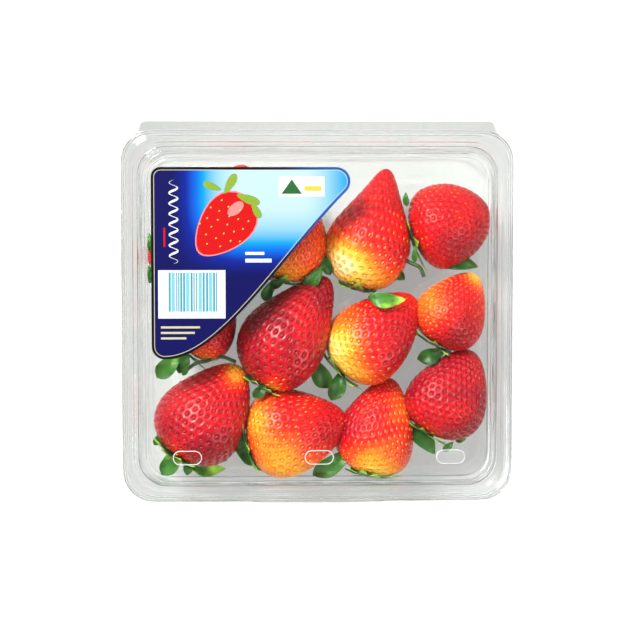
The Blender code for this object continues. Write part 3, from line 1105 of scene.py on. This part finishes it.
FIELD = blue_field()
EDGE = night_edge()
GOLD = ink("label_pale_gold_line", "#d8cfa0")
WHITE = ink("label_white_ink", "#f2f4f4")
PAPER = ink("label_bare_paper_back", "#eceae4", 0.6)
RED = ink("label_red_ink", "#d80e12")
PINK = ink("label_pink_ink", "#ee8f8a")
LEAF_INK = ink("label_leaf_green_ink", "#8fae3a")
DEEP_GREEN = ink("label_deep_green_ink", "#2f6a35")
YELLOW = ink("label_yellow_ink", "#e9d24a")
TEAL = ink("label_teal_ink", "#38a3b8")
SKY = ink("label_sky_ink", "#7fd0ee")

# %% [markdown]
# The outline is drawn from the label's own corners: a rounded corner at the back left, a round tip at the
# right, a round foot, and one sweeping curve between tip and foot.

# %% The label plate
LEFT, BACK_EDGE = label_low.x / MM, label_high.y / MM


def sweep_curve(a, b, c, d, steps):
    """A smooth curve from a to d drawn towards b and c."""
    made = []
    for i in range(1, steps):
        t = i / steps
        weights = ((1 - t) ** 3, 3 * t * (1 - t) ** 2, 3 * t * t * (1 - t), t**3)
        made.append(tuple(sum(w * p[k] for w, p in zip(weights, (a, b, c, d))) for k in (0, 1)))
    return made


tip_arc = arc(8.0, 63.9, BACK_EDGE - 63.9, 90, -46, 14)
foot_arc = arc(LEFT + 6.2, -14.1, 6.2, -90, -180, 10)
outline = arc(LEFT + 4.5, BACK_EDGE - 4.5, 4.5, 180, 90, 6)
outline += tip_arc + sweep_curve(tip_arc[-1], (-19.0, 27.0), (-47.0, -20.3), foot_arc[0], 28) + foot_arc
label_z = label_low.z / MM + 0.1


def plate(name, points, z, material, thickness=0.02):
    """A thin plate with the given outline; its face turns up."""
    bpy.ops.object.select_all(action="DESELECT")
    corners = [(x * MM, y * MM, z * MM) for x, y in points]
    piece = mesh_piece(name, corners, [tuple(range(len(corners)))], material, False)
    edit(piece, "FACE")
    bpy.ops.mesh.select_all(action="SELECT")
    bpy.ops.mesh.extrude_region_move(TRANSFORM_OT_translate={"value": (0.0, 0.0, -thickness * MM)})
    bpy.ops.mesh.select_all(action="SELECT")
    bpy.ops.mesh.normals_make_consistent(inside=False)
    close()
    return piece


def dress(piece):
    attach(piece, "lid")
    return piece


label = plate("label_sticker", outline, label_z, EDGE, 0.12)
edit(label, "FACE")
choose(label, lambda p: p.z > (label_z - 0.01) * MM, "faces")
bpy.ops.mesh.inset(thickness=1.25 * MM)
label.data.materials.append(GOLD)
label.data.materials.append(FIELD)
label.active_material_index = 1
bpy.ops.object.material_slot_assign()
bpy.ops.mesh.inset(thickness=0.3 * MM)
label.active_material_index = 2
bpy.ops.object.material_slot_assign()
bpy.ops.mesh.select_all(action="DESELECT")
choose(label, lambda p: p.z < (label_z - 0.11) * MM, "faces")
label.data.materials.append(PAPER)
label.active_material_index = 3
bpy.ops.object.material_slot_assign()
close()
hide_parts("label")
dress(label)

# %% [markdown]
# The prints on the blue are simple shapes: a plain picture of a berry with its leaves, a white price
# field with bars, a small mark field, and plain strokes where lettering would be. Each is a thin plate
# one step higher.


# %% Prints on the label
def blob(x, y, size_x, size_y, turn=0.0, point=0.0, steps=28):
    """A rounded outline; point above 0 draws one end to a tip."""
    made = []
    for i in range(steps):
        a = 2.0 * math.pi * i / steps
        u = math.cos(a)
        v = math.sin(a) * (1.0 - point * (1.0 - u) / 2.0)
        c, s = math.cos(math.radians(turn)), math.sin(math.radians(turn))
        px, py = u * size_x / 2.0, v * size_y / 2.0
        made.append((x + px * c - py * s, y + px * s + py * c))
    return list(reversed(made))


def box(x0, y0, x1, y1):
    return [(x0, y0), (x0, y1), (x1, y1), (x1, y0)]


prints = [
    ("print_berry_outline", blob(-45.0, 43.0, 35.5, 31.5, 48, 0.45), 1, PINK),
    ("print_berry", blob(-45.0, 43.0, 33.9, 29.9, 48, 0.45), 2, RED),
    ("print_berry_shine", blob(-39.5, 51.0, 9.0, 5.0, 40), 3, PINK),
    ("print_leaf_a", blob(-50.5, 61.5, 9.0, 4.6, 160, 0.5), 3, LEAF_INK),
    ("print_leaf_b", blob(-42.0, 62.8, 10.5, 5.2, 60, 0.5), 4, LEAF_INK),
    ("print_leaf_c", blob(-33.5, 55.5, 11.5, 5.4, -20, 0.5), 3, LEAF_INK),
    ("print_leaf_d", blob(-29.8, 50.2, 8.0, 4.4, -60, 0.5), 4, LEAF_INK),
    ("print_mark_field", box(-19.2, 56.7, 2.5, 66.2), 1, WHITE),
    ("print_mark_green", [(-17.8, 58.0), (-13.0, 64.8), (-8.2, 58.0)], 2, DEEP_GREEN),
    ("print_mark_bar", box(-7.0, 59.4, 1.0, 61.6), 2, YELLOW),
    ("print_price_field", box(-76.2, -0.9, -44.4, 22.0), 1, WHITE),
]


def flourish(x, y0, y1, swing, turns, thick, steps=200):
    """A ribbon that winds about an upright line, broad on one side of each wave and fine on the other."""
    line = []
    for i in range(steps + 1):
        angle = turns * 2.0 * math.pi * i / steps
        line.append((x + swing * math.sin(angle), y0 + (y1 - y0) * i / steps, angle))
    left, right = [], []
    for i, (px, py, angle) in enumerate(line):
        ahead, behind = line[min(i + 1, steps)], line[max(i - 1, 0)]
        way = math.hypot(ahead[0] - behind[0], ahead[1] - behind[1])
        across = (-(ahead[1] - behind[1]) / way, (ahead[0] - behind[0]) / way)
        ends = min(1.0, 8.0 * i / steps, 8.0 * (1.0 - i / steps))
        half = thick * (0.32 + 0.2 * math.cos(angle)) * ends + 0.03
        left.append((px + across[0] * half, py + across[1] * half))
        right.append((px - across[0] * half, py - across[1] * half))
    return left + right[::-1]


prints.append(("print_flourish", flourish(-68.8, 25.0, 64.5, 2.0, 8, 1.0), 1, WHITE))
prints.append(("print_red_line", box(-73.6, 33.0, -72.7, 42.0), 1, RED))
prints.append(("print_line_long", box(-35.0, 25.6, -22.6, 27.4), 1, WHITE))
prints.append(("print_line_short", box(-35.0, 29.2, -26.0, 30.6), 1, WHITE))
prints.append(("print_foot_line_a", box(-75.0, -5.6, -56.5, -4.6), 1, GOLD))
prints.append(("print_foot_line_b", box(-75.0, -8.2, -59.0, -7.2), 1, GOLD))
prints.append(("print_foot_line_c", box(-75.0, -10.8, -63.0, -9.8), 1, GOLD))
luck = np.random.default_rng(12)
x = -71.2
while x < -48.5:
    width = float(luck.choice([0.5, 0.9, 1.5]))
    bar_ink = TEAL if width < 1.0 else SKY
    prints.append((f"print_bar_{int(x * -10)}", box(x, 2.4, x + width, 20.8), 2, bar_ink))
    x += width + float(luck.choice([0.45, 0.7]))
for k in range(22):
    turn, reach = 2.4 * k, 2.6 * math.sqrt(k + 0.6)
    spot = (-45.5 + reach * math.cos(turn), 43.5 + reach * math.sin(turn))
    prints.append((f"print_dot_{k}", blob(*spot, 1.0, 0.7, 40, 0.0, 8), 5, YELLOW))
for name, points, level, material in prints:
    dress(plate(name, points, label_z + 0.03 * level, material))
print("prints", len(prints), "label at", label_z)

# %% [markdown]
# ## Studio
# The pack is seen from almost straight above on a white ground, lit by one large soft lamp from the back
# left and a weaker one from the right. The sky is dark at the horizon, bright at middle heights and dim
# overhead, which draws thin grey lines along the folds of the clear sheet. The floor is a mid grey under
# the lamps. It also carries a glow, strong for a straight view and about half as strong through the
# sheet, so that the ground looks white and the gaps under the sheet light grey.

# %% Floor, lamps and sky
bpy.ops.object.select_all(action="DESELECT")
bpy.ops.mesh.primitive_plane_add(size=2.4, location=(0.0, 0.0, -0.0002))
floor = bpy.context.object
floor.name = "floor"
ground = new_material("white_table_paper")
place = node(ground, "ShaderNodeTexCoord").outputs["Object"]
paper = node(ground, "ShaderNodeTexNoise", {"Scale": 300.0, "Detail": 2.0}, Vector=place)
paper_colour = ramp(ground, paper.outputs["Fac"], [(0.3, "#949493"), (0.7, "#9a9a99")])
matt = node(ground, "ShaderNodeBsdfPrincipled", {"Roughness": 0.8}, Base_Color=paper_colour)
path = node(ground, "ShaderNodeLightPath")
straight = node(ground, "ShaderNodeMath", {"operation": "MULTIPLY"}, i0=path.outputs["Is Camera Ray"])
straight.inputs[1].default_value = 0.85
seen = node(ground, "ShaderNodeMath", {"operation": "MULTIPLY_ADD"}, i0=path.outputs["Is Transmission Ray"])
seen.inputs[1].default_value = 0.43
ground.node_tree.links.new(straight.outputs[0], seen.inputs[2])
glow = node(ground, "ShaderNodeEmission", {"Color": linear("#ffffff")}, Strength=seen.outputs[0])
total = node(ground, "ShaderNodeAddShader", i0=matt.outputs["BSDF"], i1=glow.outputs["Emission"])
node(ground, "ShaderNodeOutputMaterial", Surface=total.outputs["Shader"])
floor.data.materials.append(ground)


def lamp(name, place, target, size, power):
    data = bpy.data.lights.new(name, "AREA")
    data.shape = "DISK"
    data.size = size
    data.energy = power
    made = bpy.data.objects.new(name, data)
    bpy.context.scene.collection.objects.link(made)
    made.location = place
    made.rotation_euler = (Vector(target) - Vector(place)).to_track_quat("-Z", "Y").to_euler()
    return made


MIDDLE = (0.0, 0.0, 0.03)
lamp("key_lamp", (-0.55, 0.75, 1.0), MIDDLE, 0.36, 20.0)
lamp("fill_lamp", (0.9, -0.5, 0.9), MIDDLE, 0.7, 6.0)

sky = bpy.data.worlds.new("studio_sky")
sky.use_nodes = True
bpy.context.scene.world = sky
sky.node_tree.nodes.clear()
way = node(sky, "ShaderNodeTexCoord").outputs["Generated"]
height = node(sky, "ShaderNodeSeparateXYZ", Vector=way)
grey_steps = [
    (0.0, "#242625"),
    (0.15, "#7c7e7d"),
    (0.4, "#eceeed"),
    (0.75, "#eceeed"),
    (0.9, "#80827f"),
    (0.97, "#505251"),
]
shade = ramp(sky, height.outputs["Z"], grey_steps)
light = node(sky, "ShaderNodeBackground", {"Strength": 0.75}, Color=shade)
node(sky, "ShaderNodeOutputWorld", Surface=light.outputs["Background"])

# %% [markdown]
# ## Camera
# A long lens from 900 mm away, leaning a little towards the back, keeps the sides of the pack almost
# upright.

# %% Camera
CAMERA_AWAY = 0.9
aim = Vector((1.0, -3.1, 33.0)) * MM
lean_x, lean_y = math.radians(-2.0), math.radians(4.0)
back_away = Vector((math.sin(lean_x), math.sin(lean_y), math.cos(lean_y)))
axis_z = back_away.normalized()
axis_x = Vector((0.0, 1.0, 0.0)).cross(axis_z).normalized()
axis_y = axis_z.cross(axis_x)
camera_data = bpy.data.cameras.new("camera")
camera_data.lens = 104.4
camera_data.clip_start = 0.01
camera = bpy.data.objects.new("camera", camera_data)
bpy.context.scene.collection.objects.link(camera)
turn = Matrix((axis_x, axis_y, axis_z)).transposed().to_4x4()
camera.matrix_world = Matrix.Translation(aim + axis_z * CAMERA_AWAY) @ turn
bpy.context.scene.camera = camera
bpy.context.scene.view_settings.view_transform = "Standard"
